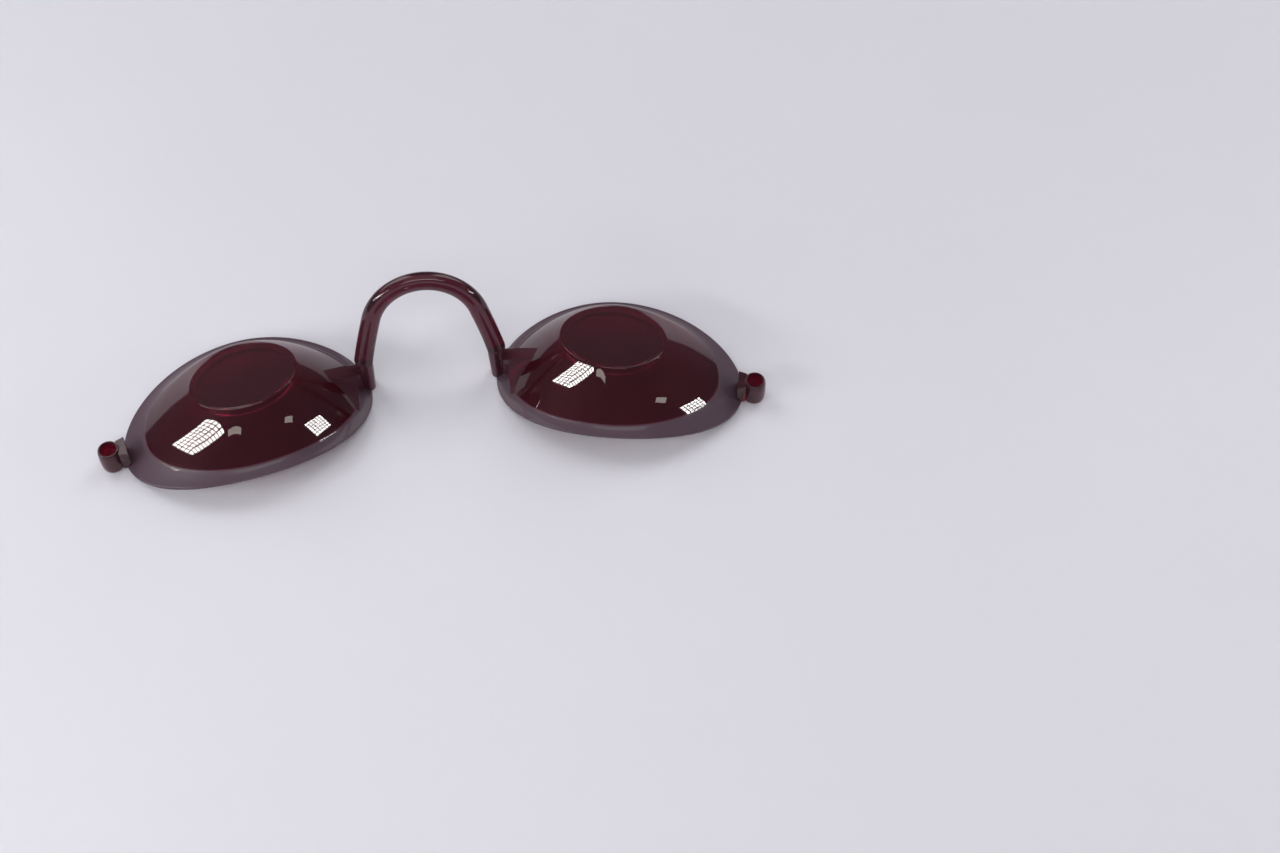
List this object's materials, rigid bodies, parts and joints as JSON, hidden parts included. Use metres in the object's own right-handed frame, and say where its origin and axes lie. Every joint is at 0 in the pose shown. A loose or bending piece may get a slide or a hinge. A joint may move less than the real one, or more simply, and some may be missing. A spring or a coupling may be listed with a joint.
{
  "type": "eye cup goggles",
  "caption": "Pair of domed light-blocking eye cups with flat round windows, joined by a flexible twin rail arch over the nose, with a strap eyelet at each temple.",
  "frame": {"origin": "middle of the pair, on the surface that the ends of both rims rest on", "axes": "+X along the pair towards the cup on its right, +Y towards the brow side, +Z away from the face"},
  "size_m": [0.1376, 0.0364, 0.0293],
  "materials": {
    "cup_plastic": "gloss dome, satin brim",
    "window_plastic": "gloss",
    "bridge_plastic": "gloss"
  },
  "bodies": {
    "bridge": {"nose_bridge": "bridge_plastic"},
    "left_cup": {"left_eye_cup": "cup_plastic", "left_filter_window": "window_plastic", "left_bridge_anchor": "cup_plastic", "left_strap_eyelet": "cup_plastic"},
    "right_cup": {"right_eye_cup": "cup_plastic", "right_filter_window": "window_plastic", "right_bridge_anchor": "cup_plastic", "right_strap_eyelet": "cup_plastic"}
  },
  "joints": [
    {"name": "left_bridge_flex", "type": "hinge", "parent": "bridge", "child": "left_cup", "pos_m": [-0.00895, 0.00881, 0.02038], "axis": [0, 0.965, -0.2622], "range_deg": [-12, 12], "stiffness_Nm_per_rad": 0.15, "deforming": ["nose_bridge"]},
    {"name": "right_bridge_flex", "type": "hinge", "parent": "bridge", "child": "right_cup", "pos_m": [0.00895, 0.00881, 0.02038], "axis": [0, -0.965, 0.2622], "range_deg": [-12, 12], "stiffness_Nm_per_rad": 0.15, "deforming": ["nose_bridge"]}
  ]
}
